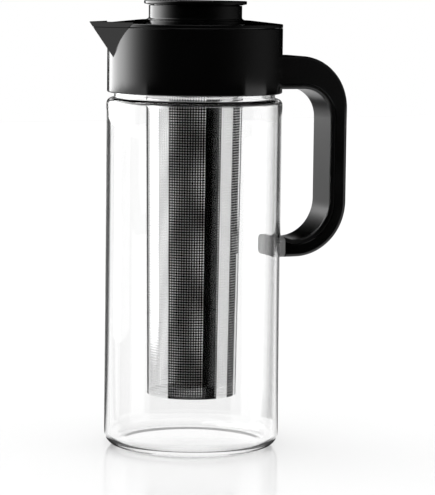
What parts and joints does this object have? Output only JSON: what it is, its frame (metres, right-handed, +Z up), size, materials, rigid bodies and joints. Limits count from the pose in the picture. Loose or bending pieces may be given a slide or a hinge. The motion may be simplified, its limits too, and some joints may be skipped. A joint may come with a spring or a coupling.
{
  "type": "infuser pitcher",
  "caption": "Clear glass pitcher with a black spouted collar, a D-loop handle, a round lid, a hanging perforated steel infuser and a lift-off cap.",
  "frame": {"origin": "centre of the flat face the glass stands on, on the glass axis", "axes": "+Z up along the glass axis, +X towards the handle, -X towards the spout"},
  "size_m": [0.1627, 0.1046, 0.2655],
  "materials": {
    "clear_glass": "clear, polished",
    "black_plastic": "black, soft gloss",
    "grip_plastic": "black, satin",
    "polished_steel": "polished, perforated sheet",
    "pale_silicone": "pale grey, matte",
    "black_silicone": "black, matte",
    "zinc_steel": "zinc plated"
  },
  "bodies": {
    "pitcher": {"glass_carafe": "clear_glass", "neck_gasket": "black_silicone", "spout_collar": "black_plastic", "handle_shell": "black_plastic", "handle_liner": "grip_plastic", "handle_screw_front": "zinc_steel", "handle_screw_back": "zinc_steel", "foot_pad": "pale_silicone"},
    "lid_ring": {"lid_seal": "black_silicone"},
    "lid": {"lid_insert": "black_plastic", "lid_cover": "black_plastic"},
    "infuser": {"infuser_sleeve": "polished_steel", "infuser_base": "polished_steel", "infuser_ring": "black_plastic", "infuser_ring_seal": "black_silicone"},
    "cap": {"cap_body": "black_plastic", "cap_top": "black_plastic", "cap_seal": "black_silicone"}
  },
  "joints": [
    {"name": "lid_lift", "type": "slide", "parent": "pitcher", "child": "lid_ring", "axis": [0, 0, 1], "range_m": [0, 0.225]},
    {"name": "lid_turn", "type": "hinge", "parent": "lid_ring", "child": "lid", "pos_m": [0, 0, 0.2339], "axis": [0, 0, 1], "continuous": true},
    {"name": "infuser_lift", "type": "slide", "parent": "lid", "child": "infuser", "axis": [0, 0, 1], "range_m": [0, 0.2235]},
    {"name": "cap_lift", "type": "slide", "parent": "infuser", "child": "cap", "axis": [0, 0, 1], "range_m": [0, 0.03]}
  ]
}
